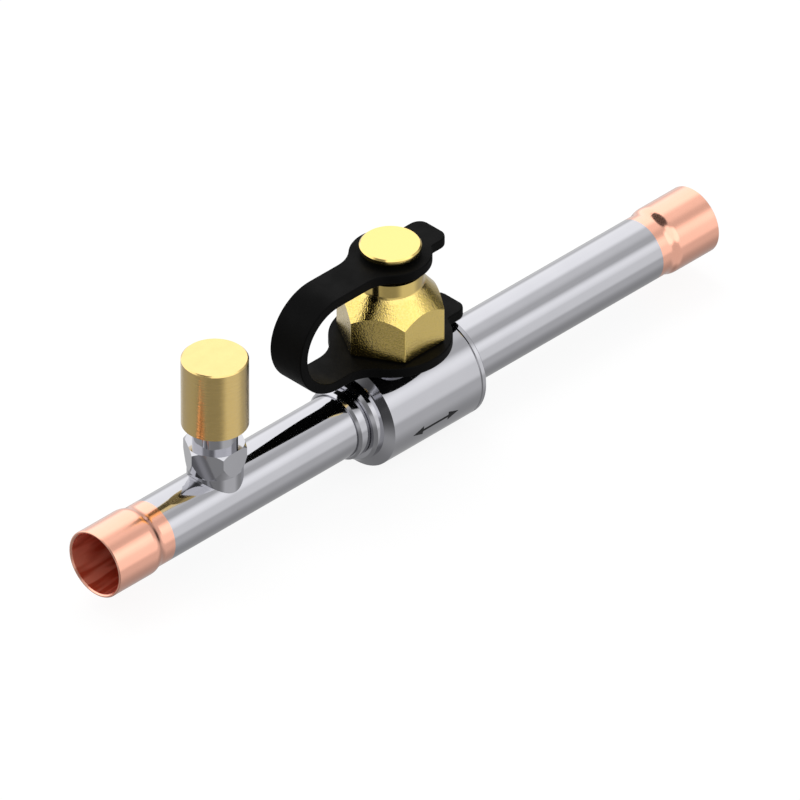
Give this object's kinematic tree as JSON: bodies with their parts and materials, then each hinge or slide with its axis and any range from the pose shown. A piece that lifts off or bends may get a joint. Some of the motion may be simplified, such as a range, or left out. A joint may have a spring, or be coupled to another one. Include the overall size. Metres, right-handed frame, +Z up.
{
  "type": "refrigerant service valve",
  "caption": "In-line quarter-turn ball valve for refrigerant with long solder-socket tubes, an access port under a round cap and a strap-held hexagonal stem cap.",
  "frame": {"origin": "centre of the left solder socket's mouth, on the pipe's axis", "axes": "+X along the pipe from the left socket into the valve, +Z up along the stem to its cap"},
  "size_m": [0.2037, 0.03, 0.0579],
  "materials": {
    "copper": "satin drawn copper, pinkish brown, darker inside the sockets",
    "steel": "bright zinc-plated steel, satin, with fine lengthwise streaks",
    "plain_steel": "turned steel",
    "chromed_ball": "polished chrome",
    "blasted_brass": "forged brass, fine blasted grain",
    "turned_brass": "satin turned brass",
    "black_rubber": "matt black moulded rubber",
    "seal_rubber": "black seal rubber",
    "ptfe": "white PTFE"
  },
  "bodies": {
    "housing": {"left_socket": "copper", "right_socket": "copper", "left_tube": "steel", "right_tube": "steel", "valve_body": "steel", "end_closure": "steel", "access_valve_body": "steel", "gland_nut": "plain_steel", "stop_pin": "plain_steel", "access_core_spring": "plain_steel", "access_core_body": "turned_brass", "cap_strap": "black_rubber", "closure_o_ring": "seal_rubber", "seat_o_ring_left": "seal_rubber", "seat_o_ring_right": "seal_rubber", "ball_seat_left": "ptfe", "ball_seat_right": "ptfe", "stem_thrust_washer": "ptfe", "stem_packing": "ptfe"},
    "stem": {"stem": "plain_steel", "ball": "chromed_ball", "stop_plate": "plain_steel", "stem_o_ring_lower": "seal_rubber", "stem_o_ring_upper": "seal_rubber"},
    "seal_cap_carrier": {"seal_cap_gasket": "ptfe"},
    "seal_cap": {"seal_cap": "blasted_brass"},
    "access_cap_carrier": {"access_cap_gasket": "ptfe"},
    "access_cap": {"access_cap": "turned_brass"},
    "core_pin": {"access_core_pin": "turned_brass", "access_core_seal": "seal_rubber"}
  },
  "joints": [
    {"name": "stem_turn", "type": "hinge", "parent": "housing", "child": "stem", "pos_m": [0.0999, 0, 0], "axis": [0, 0, 1], "range_deg": [0, 90]},
    {"name": "cap_lift", "type": "slide", "parent": "housing", "child": "seal_cap_carrier", "axis": [0, 0, 1], "range_m": [0, 0.00931], "deforming": ["cap_strap"]},
    {"name": "cap_turn", "type": "hinge", "parent": "seal_cap_carrier", "child": "seal_cap", "pos_m": [0.0999, 0, 0.027], "axis": [0, 0, 1], "range_deg": [0, 2232]},
    {"name": "access_cap_lift", "type": "slide", "parent": "housing", "child": "access_cap_carrier", "axis": [0, 0, 1], "range_m": [0, 0.01144]},
    {"name": "access_cap_turn", "type": "hinge", "parent": "access_cap_carrier", "child": "access_cap", "pos_m": [0.0406, 0, 0.033], "axis": [0, 0, 1], "range_deg": [0, 3240]},
    {"name": "core_pin_press", "type": "slide", "parent": "housing", "child": "core_pin", "axis": [0, 0, -1], "range_m": [0, 0.0015], "stiffness_N_per_m": 1000, "springref_m": -0.001, "deforming": ["access_core_spring"]}
  ],
  "couplings": [
    {"joint": "cap_lift", "follows": "cap_turn", "m_per_rad": 0.00023873},
    {"joint": "access_cap_lift", "follows": "access_cap_turn", "m_per_rad": 0.00020213}
  ]
}
